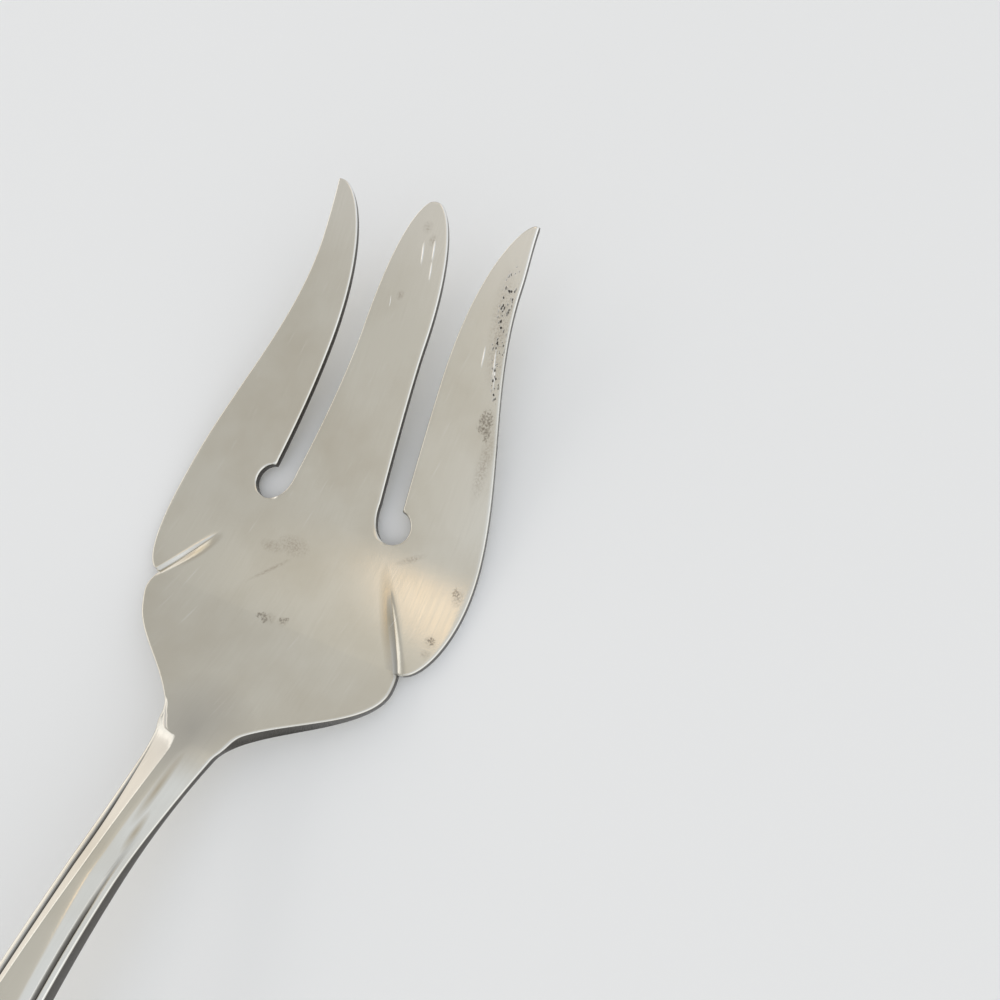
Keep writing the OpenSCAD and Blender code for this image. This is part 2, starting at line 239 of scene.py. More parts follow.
def back_z(s):
    """Height of the back: straight handle, arch, straight neck, belly arc, tine arc."""
    handle = (s - end_s) * np.tan(handle_slope)
    arch = arch_z + arc(s, arch_s, arch_r)
    neck = neck_z + (neck_from - s) * np.tan(neck_slope)
    belly = belly_r - arc(s, belly_rise, belly_r)
    tine = tine_mid_z - arc(s, tine_mid_s, tine_r)
    ends = [s < arch_to, s < neck_s, s < neck_from, s < tine_from]
    return np.select(ends, [handle, arch, neck, belly], tine)


# The thickness at six stations, the least share of it that is left at an end, and the round of the tips
thick_at = [wide_s, stem_s, neck_s, 0, root_s, head_l]
thick_mm = [2.6, 3.4, 2.3, 1.5, 1.3, 1.1]
blunt = 0.12
tip_round = 0.4


def plain_t(s):
    """Thickness along the fork: straight runs between the handle, stem, neck, palm and tips."""
    return np.interp(s, thick_at, thick_mm)


def thick(s):
    """The same, drawn in by a quarter circle at the handle end and over a shorter stretch at the tips."""
    end = round_end(1 - (s - end_s) / plain_t(s))
    return plain_t(s) * np.maximum(blunt, np.minimum(end, round_end(1 - (head_l - s) / tip_round)))


arch_high, tips_high = back_z(np.array([arch_s, head_l]))
print(f"profile: arch {arch_high:.1f} mm high, tips {tips_high:.1f} mm")

# %% [markdown]
# ## The rounded edges
# The blank was cut upright, and buffing broke its edges: a small quarter round on top, an upright wall,
# and the same below, fuller on the palm and handle than on the tines. The radius is measured square
# to the outline, so where that slants across the fork it takes more of the width. A Bevel modifier
# would round the relief too, so the edge is part of the formula. Below the bowl the shoulders were filed
# by hand: the left one upright and further in, the right one slantwise, so that its wall shows.

# %% The depth of the rounded edges
# The radii, the limit and the step for measuring the slant, and the most of a width that an edge takes
body_edge = 0.34
tine_edge = 0.3
slant_limit = 2.6
slant_step = 0.05
edge_share = 0.45


def slant(half, s):
    """How much longer a square cut gets along X: the length of the vector (1, slope)."""
    slope = (half(s + slant_step) - half(s - slant_step)) / (2 * slant_step)
    return np.minimum(slant_limit, np.hypot(1, slope))


def edge_r(s):
    """Radius of the outer edge, from the handle to the tips."""
    return np.interp(s, [neck_s, lobe_rise], [body_edge, tine_edge])


def body_depth(s):
    """Depth of the outer edge along X: its radius, longer where the outline slants."""
    return np.minimum(edge_r(s) * slant(outer_half, s), outer_half(s) * edge_share)


def slot_depth(half, s):
    """Depth of an edge beside a slot, which grows out of nothing at the slot's root."""
    return tine_edge * smooth((s - root_s) / hole_r) * slant(half, s)


def rim_half(s):
    """Half width of the flat top, inside the rounded edge."""
    return outer_half(s) - body_depth(s)


print("edges: depth at the neck and the lobes", body_depth(np.array([neck_s, lobe_rise])))

# %% The filed shoulders
# How they start above the neck, then each amount, the drop below the notches where it starts, and the
# length over which it grows
file_lead = 1.0
file_rise = 3.0
lean_right = 0.8
lean_drop = 3.0
lean_l = 11.0
file_bowl = 0.6
file_bowl_drop = 1.5
file_bowl_l = 3.0
file_neck = 0.4
file_neck_drop = 6.0
file_neck_l = 6.0


def filed(s, side):
    """How far a shoulder was filed in along X: it rises from the neck, and on the right falls slowly
    towards the bowl; on the left there is one amount up to the bowl and one more at the neck."""
    right = lean_right * smooth((-lean_drop - s) / lean_l)
    at_bowl = file_bowl * smooth((-file_bowl_drop - s) / file_bowl_l)
    at_neck = file_neck * smooth((-file_neck_drop - s) / file_neck_l)
    grown = smooth((s - neck_s - file_lead) / file_rise)
    return np.where(side < 0, at_bowl + at_neck, right) * grown * slant(outer_half, s)


bowl_mid = np.array([neck_s / 2])
print("shoulders: filed in on the left and right", filed(bowl_mid, -1), filed(bowl_mid, 1))

# %% [markdown]
# ## The bevelled stem and the thread border
# Below the neck the top of the stem has a narrow flat ridge with a bevel on each side. The left bevel
# starts at the edge, cuts in slantwise to a squared corner and then closes in on the ridge. On the
# right, buffing took that corner off. Outside the bevels a fine groove leaves a raised thread along the
# edge, which runs round the handle's end. Boolean cuts would leave hard, even edges, so the bevels and
# the groove are a drop of the top that is worked out at each point.

# %% Sizes of the stem's and the handle's relief
# The ridge on each side of the middle, and the tongue that it widens into at its upper end
ridge_left_w = 0.8
ridge_right_w = 0.5
tongue_w = 2.3
tongue_l = 1.5
# The squared corner on the left and the wedge above it, in lengths down the stem and half widths
facet_rise = 3.0
facet_l = 1.9
facet_corner_l = 0.2
facet_corner_w = 1.35
facet_mid_w = 4.2
facet_mid_l = 0.6
facet_top_w = 5.3
facet_strip_w = 6.6
facet_out_w = 8.3
wedge_soft = 0.9
# The bevels: how they grow, their slope in degrees on the stem and the handle, and the inner edge's round
bevel_lead = 2.0
bevel_left_l = 8.0
bevel_right_l = 14.0
bevel_slope = 21.0
field_slope = 14.0
crease_r = 0.12
crease_right_r = 0.3
# The thread and its groove: widths, depth, and how they grow out of the neck
thread_w = 0.2
groove_w = 0.7
groove_d = 0.3
thread_l = 12.0
thread_start = 0.25
groove_left_l = -2.0
groove_right_l = 8.5
# The most and the least of the half width that the border, the field and the ridge take
border_share = 0.6
field_share = 0.9
ridge_share = 0.1

facet_s = neck_s + facet_rise
facet_in = facet_s - facet_l
facet_end = facet_in - facet_corner_l
ridge_s = facet_end - tongue_l
field_half = (handle_w / 2 - body_edge - thread_w - groove_w) * field_share
ridge_at = [wide_s, stem_s, ridge_s, facet_end]
wedge_at = [facet_end, facet_in, facet_s - facet_mid_l, facet_s,
            facet_s + bevel_lead / 2, facet_s + bevel_lead]
wedge_mm = [tongue_w / 2, tongue_w / 2 + facet_corner_w, facet_mid_w, facet_top_w,
            facet_strip_w, facet_out_w]
print(f"stem: bevels from station {facet_s:.1f} to {facet_end:.1f}, field half width {field_half:.2f}")

# %% Relief of the stem and the handle
# Distances from the edge stay above this, so that nothing is divided by zero
inset_least = 1e-6


def thread_part(s):
    """How far the border has grown out of the neck, as a share of its full width."""
    return share(thread_start, 1, smooth((facet_end - s) / thread_l))


def ridge_half(s, side):
    """Width of one half of the flat ridge, which leans to the left, or on the handle of the field that
    it widens into."""
    left = np.interp(s, ridge_at, [field_half, ridge_left_w, ridge_left_w, tongue_w / 2])
    right = np.interp(s, ridge_at, [field_half, ridge_right_w, ridge_right_w, tongue_w / 2])
    return np.where(side < 0, left, right)


def wedge_half(s, side):
    """Inner edge of the bevel: the ridge, and on the left a squared corner and a wedge above it, which
    buffing took off on the right."""
    return np.where((s > facet_end) & (side < 0), np.interp(s, wedge_at, wedge_mm), ridge_half(s, side))


def inset(x, s):
    """Distance from the edge: across the fork, and round the handle's end the height of the right
    triangle whose legs run to the edge across and along the fork."""
    across = np.maximum(inset_least, outer_half(s) - x)
    rest = np.clip(1 - (2 * x / handle_w) ** 2, 0, 1)
    along = np.maximum(inset_least, s - end_s - end_l * (1 - rest ** (1 / handle_power)))
    return np.where(s > wide_s, across, across * along / np.hypot(across, along))


def stem_groove(x, s, side):
    """The groove inside the thread: a raised cosine across its width, which deepens along the stem and
    starts lower down on the right."""
    part = thread_part(s)
    away = (inset(x, s) - body_edge - part * (thread_w + groove_w / 2)) / (part * groove_w)
    grown = smooth((facet_end - np.where(side < 0, groove_left_l, groove_right_l) - s) / thread_l) ** 2
    return groove_d * grown * np.cos(np.pi * np.clip(away, -0.5, 0.5)) ** 2


def crease(s, side):
    """Radius of the bevel's inner edge: crisp on the left, and on the right softer from the stem up."""
    return crease_r if side < 0 else np.interp(s, [wide_s, stem_s], [crease_r, crease_right_r])


def stem_relief(x, s, side):
    """Drop of the top: a bevel that falls at its slope from the ridge and grows out of the neck, and the
    groove. Above the squared corner the bevel starts at the wedge's edge, over a soft flank."""
    slope = np.tan(np.radians(np.interp(s, [wide_s, stem_s], [field_slope, bevel_slope])))
    grown = smooth((facet_s + bevel_lead - s) / (bevel_left_l if side < 0 else bevel_right_l))
    deep = np.where(s < wide_s, handle_w / 2 - field_half, outer_half(s) - ridge_half(s, side))
    soft = crease(s, side)
    bevel = soft_positive(deep - inset(x, s), soft) - soft_positive(-ridge_half(s, side), soft)
    flank = smooth((x - wedge_half(s, side)) / wedge_soft)
    start = np.where((s > facet_end) & (side < 0), flank, 1)
    return slope * grown * bevel * start + stem_groove(x, s, side)


stem_edge = (np.array([stem_w / 2]), np.array([stem_s]))
print("stem: drop at the left and right edge", stem_relief(*stem_edge, -1), stem_relief(*stem_edge, 1))

# %% Columns of the stem and the handle
# Stretches between the key columns across the ridge
ridge_steps = 4


def stem_columns(s, side):
    """Key columns: across the ridge, then at the border's, groove's and thread's edges and the rim."""
    rim = rim_half(s)
    part = thread_part(s)
    full_w = part * (thread_w + groove_w)
    fit = np.minimum(1, rim * border_share / full_w)
    border_w = fit * full_w
    thread = fit * part * thread_w
    inner = np.where(s < wide_s, outer_half(s) - handle_w / 2 + field_half, wedge_half(s, side))
    ridge = np.minimum(inner, (rim - border_w) * field_share)
    field = np.maximum(ridge, rim * ridge_share)
    border = [rim - border_w, rim - (border_w + thread) / 2, rim - thread, rim]
    return np.stack([field * k / ridge_steps for k in range(ridge_steps + 1)] + border, axis=1)


print("stem: key columns on the left", stem_columns(np.array([stem_s]), -1).round(2))

# %% [markdown]
# ## The shoulder pleats
# At each notch the dies folded the metal: a pleat runs from the notch up into the palm and fades out.
# On the left its side on the lobe is narrow and steep, and its side on the bowl is wide and shallow. On
# the right the lobe's side was buffed wide and hollow. A sculpted crease would need a far finer mesh.
# Here columns of the grid are led along the pleat, so that its valley is a clean line and not a staircase.

# %% Relief of the pleats
# How far the pleats reach up and lean in, the left one's shorter reach, and how they run out downwards
pleat_rise = 9.8
pleat_lean = 6.0
pleat_left_rise = 8.4
pleat_out = 1.0
# Depths at the notch
pleat_left_d = 0.36
pleat_right_d = 0.34
# Widths of the lobe's side and the share of them at the upper end, then of the bowl's side and the share
# at the notch, and the power of a hollow side
pleat_left_w = 0.75
pleat_right_w = 1.7
pleat_taper = 0.25
pleat_bowl_left_w = 1.7
pleat_bowl_right_w = 1.0
pleat_start = 0.5
pleat_hollow = 1.6


def pleat_x(s):
    """The valley: a straight line that leans in from the notch."""
    return notch_w / 2 - pleat_lean * s / pleat_rise


def pleat_lobe(s, side):
    """Width of the side on the lobe, which narrows upwards; the right one was buffed wider."""
    full = pleat_left_w if side < 0 else pleat_right_w
    return full * share(1, pleat_taper, s / pleat_rise)


def pleat_bowl(s, side):
    """Width of the side on the bowl, which opens out like a fan over the lower half, less on the right."""
    full = pleat_bowl_left_w if side < 0 else pleat_bowl_right_w
    return full * share(pleat_start, 1, 2 * s / pleat_rise)


def pleat_depth(s, side):
    """Depth along the pleat: it falls by the square of the height above the notch, sooner on the left."""
    rise = np.where(side < 0, pleat_left_rise, pleat_rise)
    deep = np.where(side < 0, pleat_left_d, pleat_right_d)
    return deep * np.clip(np.where(s < 0, 1 + s / pleat_out, 1 - (s / rise) ** 2), 0, 1)


def pleat_relief(x, s, side):
    """Drop of the top: deepest in the valley, then hollow up by a power, but straight on the left lobe."""
    off = x - pleat_x(s)
    away = np.where(off > 0, off / pleat_lobe(s, side), -off / pleat_bowl(s, side))
    power = np.where((off > 0) & (side < 0), 1, pleat_hollow)
    return pleat_depth(s, side) * np.maximum(0, 1 - away) ** power


print("pleats: valley from x", pleat_x(0), "to x", pleat_x(pleat_rise))

# %% Columns and waves of the palm
# Stretches to the middle of a slot and from there to the rim, the room left at the rim, and the length
# below the notch over which the columns close in on the pleat
zone_steps = 3
side_steps = 5
pleat_gap = 0.25
pleat_lead = 4.0


def palm_columns(s, side):
    """Key columns: to the middle of the slots, then along both sides of the pleat and to the rim."""
    rim = rim_half(s)
    zone = share(rim / 2, hole_x, s / root_s)
    even = [zone + (rim - zone) * k / side_steps for k in range(side_steps + 1)]
    valley = np.minimum(pleat_x(s), rim - pleat_gap)
    lobe = np.minimum(pleat_lobe(s, side), (rim - valley) / 2)
    held = [zone, valley - pleat_bowl(s, side), valley, valley + lobe, (valley + lobe + rim) / 2, rim]
    hold = smooth(1 + s / pleat_lead) * smooth((root_s - s) / (root_s - pleat_rise))
    return np.stack([zone * k / zone_steps for k in range(zone_steps)]
                    + [share(a, b, hold) for a, b in zip(even, held)], axis=1)


# Waves of the buffed top: millimetres to a radian across and along the fork, and a lead in radians
waves = [(2.9, 5.3, 0), (4.7, 3.1, 1), (9.0, 2.3, 0)]
wave_d = 0.01
wave_lead = 6.0


def polish_wave(x, s):
    """Slight waviness of a hand-buffed flat: cosines across times sines along, a few hundredths of a
    millimetre in all, alike on both sides of the middle, which fade out on the stem."""
    crossed = sum(np.cos(x / across) * np.sin(s / along + ahead) for across, along, ahead in waves)
    return wave_d * crossed * smooth((s - neck_s) / wave_lead)


print("palm: key columns at the notch on the left", palm_columns(np.array([0.0]), -1).round(2))

# %% [markdown]
# ## Rings and skins
# A ring is a closed line round the fork at one station: along the top, down the right edge, back
# underneath and up the left edge. Rings in a row make a skin. The handle and palm are one skin, each
# tine is another, and they share their points at the slot roots, where they are merged. A curve bevelled
# along a path would have one cross-section, but here it changes at every station.

# %% Parts of a ring
# Where the notches lie in the frame, the steps in each stretch of half the top, and those round an edge
head_y = fork_l / 2 - head_l
top_steps = [4, 4, 4, 6, 8, 8, 6, 7]
edge_steps = 7
edge_turn = np.pi / 2 * np.arange(1, edge_steps + 1) / edge_steps


def spread(keys, steps):
    """Fill in between key columns: each stretch is cut into equal steps."""
    runs = [keys[:, [k]] + (keys[:, [k + 1]] - keys[:, [k]]) * np.arange(n) / n
            for k, n in enumerate(steps)]
    return np.hstack(runs + [keys[:, [-1]]])


def edge(x, depth, radius, top, low, side, lean=0.0):
    """A quarter round at the top, a wall and a quarter round at the back; the rounds fall by the radius
    and stand out by the edge's depth, and the wall leans out towards the back."""
    out = x[:, None] + side * depth[:, None] * np.sin(edge_turn)
    back = out[:, ::-1] + side * np.reshape(lean, (-1, 1))
    fall = np.minimum(radius, (top - low) * edge_share)[:, None] * (1 - np.cos(edge_turn))
    return np.hstack([out, back]), np.hstack([top[:, None] - fall, low[:, None] + fall[:, ::-1]])


def ring(s, runs):
    """Join the runs of a ring into points: X from the runs, Y from the station, Z from the runs."""
    x = np.hstack([across for across, _ in runs])
    z = np.hstack([height for _, height in runs])
    y = np.broadcast_to((s + head_y)[:, None], x.shape)
    return np.stack([x, y, z], axis=2)


print("rings:", sum(top_steps), "steps across half of the top and", edge_steps, "round an edge")

# %% Rings of the palm, the stem and the handle
# Steps in each stretch of the back, the length over which the stem's columns turn into the palm's, and
# the rise of the back's edges above its middle
back_steps = 8
neck_blend_l = 6.0
back_crown = 0.5


def top_half(s, part, full, side):
    """One half of the top of the palm, stem and handle: its columns, the height less the relief, and the
    column that runs to the middle of the slot."""
    keys = share(palm_columns(s, side), stem_columns(s, side), part[:, None])
    x = spread(keys, top_steps)
    at = s[:, None]
    drop = pleat_relief(x, at, side) + stem_relief(x, at, side) + polish_wave(x, at)
    top = back_z(s) + (plain_t(s) + thick(s)) / 2
    return x, top[:, None] - drop * full[:, None], keys[:, [zone_steps]]


def body_rings(s):
    """The palm, stem and handle: both halves of the top, both edges, and a slightly crowned back. On the
    left all columns are drawn in by what was filed off, on the right only those of the top."""
    part = smooth((facet_s + neck_blend_l - s) / neck_blend_l)
    full = thick(s) / plain_t(s)
    left_x, left_z, _ = top_half(s, part, full, -1)
    x, z, zone = top_half(s, part, full, 1)
    steps = np.arange(back_steps + 1) / back_steps
    rim = x[:, -1]
    under = np.hstack([zone * steps[:-1], zone + (rim[:, None] - zone) * steps])
    crown = back_crown * part * full
    low = back_z(s) + (plain_t(s) - thick(s)) / 2
    low_z = low[:, None] + crown[:, None] * (under / rim[:, None]) ** 2
    left = edge(-rim, outer_half(s) - rim, edge_r(s), left_z[:, -1], low + crown, -1)
    keep = (1 - filed(s, -1) / outer_half(s))[:, None]
    lean = filed(s, 1)
    right = edge(rim - lean, outer_half(s) - rim, edge_r(s), z[:, -1], low + crown, 1, lean)
    return ring(s, [(-left_x[:, :0:-1] * keep, left_z[:, :0:-1]), (x * (1 - lean / rim)[:, None], z), right,
                    (under[:, ::-1], low_z[:, ::-1]), (-under[:, 1:] * keep, low_z[:, 1:]),
                    (left[0][:, ::-1] * keep, left[1][:, ::-1])])


print("palm:", body_rings(np.array([0.0])).shape[1], "points in a ring")

# %% Rings of the tines
def tine_rings(s, left, right, left_depth, right_depth, steps, under_steps):
    """A tine between two sides: flat top and back, with an edge on each side."""
    top = back_z(s) + (plain_t(s) + thick(s)) / 2
    low = back_z(s) + (plain_t(s) - thick(s)) / 2
    most = (right - left) * edge_share
    a = left + np.minimum(left_depth, most)
    b = right - np.minimum(right_depth, most)
    keys = np.stack([a + (b - a) * k / len(steps) for k in range(len(steps) + 1)], axis=1)
    x = spread(keys, steps)
    under = b[:, None] + (a - b)[:, None] * np.arange(under_steps + 1) / under_steps
    z = top[:, None] - polish_wave(x, s[:, None]) * (thick(s) / plain_t(s))[:, None]
    right_edge = edge(b, right - b, tine_edge, z[:, -1], low, 1)
    left_edge = [values[:, ::-1] for values in edge(a, a - left, tine_edge, z[:, 0], low, -1)]
    flat_low = np.broadcast_to(low[:, None], under.shape)
    return ring(s, [(x, z), right_edge, (under, flat_low), left_edge])


def centre_rings(s):
    """The centre tine, from one slot to the other."""
    half = centre_half(s)
    depth = slot_depth(centre_half, s)
    steps = top_steps[:zone_steps]
    return tine_rings(s, -half, half, depth, depth, steps[::-1] + steps, 2 * back_steps)


def outer_rings(s, point):
    """An outer tine as on the right, from its slot to the outline."""
    return tine_rings(s, slot_half(s, point), flank_half(s, point), slot_depth(slot_half, s), body_depth(s),
                      top_steps[zone_steps:], back_steps)


at_root = np.array([root_s])
print("tines:", centre_rings(at_root).shape[1], "points in a ring of the centre one,",
      outer_rings(at_root, 0).shape[1], "of an outer one")

# %% Stations along the fork
def run(start, stop, n, ease="even"):
    """Stations from start up to stop, evenly or closer together at one end, by a sine or cosine."""
    t = np.arange(n) / n
    eased = {"even": t, "late": np.sin(np.pi / 2 * t), "early": 1 - np.cos(np.pi / 2 * t)}[ease]
    return start + (stop - start) * eased


body_s = np.concatenate([
    run(end_s, wide_s, 48, "early"), run(wide_s, stem_s, 60), run(stem_s, ridge_s, 36),
    run(ridge_s, facet_end, 10), run(facet_end, facet_in, 4), run(facet_in, facet_s, 10),
    run(facet_s, -bowl_drop, 44), run(-bowl_drop, 0, 14, "late"), run(0, lobe_rise, 56, "early"),
    run(lobe_rise, root_s, 10), [root_s]])
# Round the hole the stations go by equal angles, up to the corner on the outer tine
hole_turn = np.radians(np.arange(0, 168, 6))
tine_s = np.concatenate([
    hole_rise - hole_r * np.cos(hole_turn), [corner_s],
    run(blend_s + hole_corner, taper_s, 44), run(taper_s, head_l, 60, "late"), [head_l]])
print("stations:", len(body_s), "on the body and", len(tine_s), "on each tine")

# %% [markdown]
# ## One closed surface
# The fork is one piece of metal, so its mesh is one closed surface: quads between neighbouring rings, a
# fan of triangles at each free end, and doubled points merged at the slot roots. A coarse cage under a
# Subdivision Surface would soften the crisp lines of the stem, so the grid itself is fine.

# %% The fork's mesh
# Points closer than this, in metres, become one
merge_gap = 1e-7


def skin(count, size, start):
    """Quads between neighbouring rings: row by row, each point to the next one round the ring."""
    here = start + np.arange((count - 1) * size).reshape(count - 1, size)
    beside = np.roll(here, -1, axis=1)
    return np.stack([here, beside, beside + size, here + size], axis=2).reshape(-1, 4)


def cap(start, size, hub, ahead):
    """Triangles from a ring to a hub, which close a free end."""
    here = start + np.arange(size)
    beside = np.roll(here, -1)
    pair = (here, beside) if ahead else (beside, here)
    return np.stack([np.full(size, hub), *pair], axis=1)


right_tine = outer_rings(tine_s, 1)
left_tine = outer_rings(tine_s, 0)[:, ::-1] * [-1, 1, 1]
skins = [body_rings(body_s), centre_rings(tine_s), right_tine, left_tine]
starts = np.cumsum([0] + [rings.shape[0] * rings.shape[1] for rings in skins])
free_rings = [skins[0][0]] + [rings[-1] for rings in skins[1:]]
hubs = np.array([free.mean(axis=0) for free in free_rings])
points = np.vstack([rings.reshape(-1, 3) for rings in skins] + [hubs]) * MM
faces = []
for k, rings in enumerate(skins):
    count, size = rings.shape[:2]
    faces += skin(count, size, starts[k]).tolist()
    free_start = starts[0] if k == 0 else starts[k + 1] - size
    faces += cap(free_start, size, starts[-1] + k, k > 0).tolist()

mesh = bpy.data.meshes.new("fork_silver_plate")
mesh.from_pydata(points.tolist(), [], faces)
grid = bmesh.new()
grid.from_mesh(mesh)
bmesh.ops.remove_doubles(grid, verts=grid.verts, dist=merge_gap)
open_edges = sum(not e.is_manifold for e in grid.edges)
volume = grid.calc_volume(signed=True)
grid.to_mesh(mesh)
grid.free()
mesh.shade_smooth()

fork = bpy.data.objects.new("fork_silver_plate", mesh)
bpy.context.scene.collection.objects.link(fork)
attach(fork, "root")
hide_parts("fork")
print(f"fork: {len(mesh.polygons)} faces, {open_edges} open edges, {volume / MM ** 3:.0f} mm3")

# %% [markdown]
# ## Where tarnish and painted shade go
# A cloth doesn't reach into the narrow valleys of the pleats and the grooves, so tarnish stays dark there
# on old silver. The upright walls, and a wider band on the bowl's side of the right pleat, get painted
# shade.
# An Ambient Occlusion node would have to guess such places. The formulas know them, so two attributes on
# the points say how much of a recess or a wall there is.

# %% Attributes for recesses and walls
# The widths of the darkening in a valley, tarnish in the narrow one and painted shade in the wide one on
# the bowl's side of the right pleat, the depth at which it is darkest, and the least upward turn
valley_w = 0.1
valley_bowl_w = 0.6
valley_full_d = 0.6
recess_up = 0.2
# A wall turns up or down by less than this, by more where it was filed slantwise, with a soft limit
wall_up = 0.6
wall_lean_up = 0.2
wall_soft = 0.4

places = np.empty(len(mesh.vertices) * 3, dtype=np.float32)
normals = np.empty_like(places)
mesh.vertices.foreach_get("co", places)
mesh.vertices.foreach_get("normal", normals)
side_x = places[0::3]
half_x = np.abs(side_x) / MM
along_s = places[1::3] / MM - head_y
up = normals[2::3]

# The valley's darkening thins out as a bell curve: tarnish where it is narrow, and painted shade where it
# is wider on the bowl's side of the right pleat
off = half_x - pleat_x(along_s)
bell_w = np.where((off < 0) & (side_x > 0), valley_bowl_w, valley_w)
valley = np.exp(-(off / bell_w) ** 2) * pleat_depth(along_s, side_x) / valley_full_d
line = np.sqrt(stem_groove(half_x, along_s, side_x) / groove_d)
# A wall, which gets painted shade, is where the surface is upright, or nearly so on the filed shoulder
leaning = np.where(side_x > 0, filed(along_s, 1) / lean_right, 0)
upright = wall_up + wall_lean_up * np.minimum(1, leaning)
# The recess mask holds tarnish and some painted shade, and the wall mask holds painted shade
wear_and_painted_light = {"recess": np.where(up > recess_up, np.maximum(valley, line), 0),
        "painted_wall_shade": smooth((upright - np.abs(up)) / wall_soft)}
for name, values in wear_and_painted_light.items():
    attribute = mesh.attributes.new(name, "FLOAT", "POINT")
    attribute.data.foreach_set("value", values.astype(np.float32))
    print(f"{name}: on {np.mean(values > 0.5):.1%} of the points")

# %% [markdown]
# ## The silver
# The finish is silver plate, used and polished for many years. Clean silver is nearly white. A thin film
# of tarnish turns it a little yellow and grey in clouds, the tips are whiter, and the cloth has left fine
# strokes along the fork. Pits, stains and scratches sit where this fork has been knocked and left wet.
# Some shade, and glints on the scratches, are painted into the colour as well. A painted image could hold
# all this, but nodes stay sharp at any distance. A few short functions, one for each kind of node that
# repeats, keep the steps readable.

# %% Colours and nodes
def colour(code):
    """An sRGB hex code as linear red, green, blue and alpha."""
    channels = np.array([int(code[k:k + 2], 16) for k in (1, 3, 5)]) / 255
    linear = np.where(channels <= 0.04045, channels / 12.92, ((channels + 0.055) / 1.055) ** 2.4)
    return (*linear.tolist(), 1.0)


def add_node(tree, kind, settings=None, inputs=None):
    """Add a node and set its properties. An input is a value for its socket or another node's output."""
    node = tree.nodes.new(kind)
    for name, value in (settings or {}).items():
        setattr(node, name, value)
    for name, value in (inputs or {}).items():
        if isinstance(value, bpy.types.NodeSocket):
            tree.links.new(value, node.inputs[name])
        else:
            node.inputs[name].default_value = value
    return node


def noise(tree, vector, cell, detail):
    """Noise from 0 to 1 with cells of the given length, in the vector's own unit."""
    inputs = {"Vector": vector, "Scale": 1 / cell, "Detail": detail}
    return add_node(tree, "ShaderNodeTexNoise", inputs=inputs).outputs["Fac"]


def ramp(tree, value, start, stop, low=0.0, high=1.0, kind="LINEAR"):
    """A value that goes from start to stop becomes one from low to high, held at the ends."""
    inputs = {"Value": value, "From Min": start, "From Max": stop, "To Min": low, "To Max": high}
    return add_node(tree, "ShaderNodeMapRange", {"interpolation_type": kind}, inputs).outputs["Result"]


def maths(tree, operation, *values):
    """One step of arithmetic on numbers and on other nodes' outputs."""
    inputs = dict(enumerate(values))
    return add_node(tree, "ShaderNodeMath", {"operation": operation}, inputs).outputs["Value"]


def coat(tree, under, code, factor):
    """A colour over another one: what is under it where the factor is 0, the new colour where it is 1."""
    inputs = {"A": under, "B": colour(code), "Factor": factor}
    return add_node(tree, "ShaderNodeMix", {"data_type": "RGBA"}, inputs).outputs["Result"]


print("helpers: colour, add_node, noise, ramp, maths, coat")

# %% [markdown]
# ## The film of tarnish and the strokes
# All patterns use Object coordinates, so they stay on the metal when the fork moves. A Mapping node of
# the Texture kind divides by its scale, so a scale is simply the size of one cell in metres.

# %% Film and strokes
silver = bpy.data.materials.new("silver_plate_worn_buffed")
silver.use_nodes = True
tree = silver.node_tree
shader = tree.nodes["Principled BSDF"]
shader.inputs["Metallic"].default_value = 1.0
place = add_node(tree, "ShaderNodeTexCoord").outputs["Object"]


def stretch(size, at=(0, 0, 0), turn=0):
    """Coordinates in cells of a size, counted from a place and turned about the upright axis: the place
    is taken off, then the turn, and the rest is divided by the size. In millimetres and degrees."""
    inputs = {"Vector": place, "Location": [v * MM for v in at], "Rotation": (0, 0, np.radians(turn)),
              "Scale": [v * MM for v in size]}
    return add_node(tree, "ShaderNodeMapping", {"vector_type": "TEXTURE"}, inputs).outputs["Vector"]


# Clouds of tarnish about 12 mm across: the eye sees a patchy warm grey instead of a flat white
clouds = noise(tree, place, cell=12 * MM, detail=4.0)
plate = coat(tree, colour("#E4E1D7"), "#D9D4C7", ramp(tree, clouds, 0.4, 0.7))
# Whiter tips, over the last 18 mm or so
white_from = 42.0
white_to = 60.0
along = add_node(tree, "ShaderNodeSeparateXYZ", inputs={"Vector": place}).outputs["Y"]
tips = ramp(tree, along, (head_y + white_from) * MM, (head_y + white_to) * MM, kind="SMOOTHSTEP")
tipped = coat(tree, plate, "#EFECE4", tips)
# Cloth strokes: real ones are a few hundredths of a millimetre wide, here 0.2 mm so that they show
strokes = noise(tree, stretch((0.2, 9, 9)), cell=1.0, detail=2.0)
buffed = coat(tree, tipped, "#CFCBC0", ramp(tree, strokes, 0.35, 0.65, high=0.1))
# The grain of the plate: soft dimples 0.2 mm across that make a reflection speckled
grain = noise(tree, place, cell=0.2 * MM, detail=1.0)
print("film: clouds, tips, strokes and grain")

# %% [markdown]
# ## Stains, painted shade, pits and scratches
# Each mark has a place and a size, and a spherical Gradient gives a soft mask round it. Fine noise
# breaks the stains into flecks. The same soft masks place painted shade on the neck and beside the folds.
# Pits are stretched Voronoi dots, kept only inside a long mask beside the edge of one tine, where the plate
# has gone through. Scratches are stretched noise cut off high, so that only its crests are left, and a few
# bright ones have places of their own; their whiter colour is partly a painted glint.

# %% Soft masks, stains and painted shade
# A mark's middle lies this high, and it reaches so far up and down that the head's curve stays inside
mark_z = 5.0
mark_h = 60.0


def marks(places):
    """Largest of several soft masks: x, station, half width, half length in mm, turn in degrees."""
    most = None
    for x, s, half_w, half_l, turn in places:
        spot = stretch((half_w, half_l, mark_h), (x, head_y + s, mark_z), turn)
        soft = add_node(tree, "ShaderNodeTexGradient", {"gradient_type": "SPHERICAL"},
                        {"Vector": spot}).outputs["Fac"]
        most = soft if most is None else maths(tree, "MAXIMUM", most, soft)
    return most


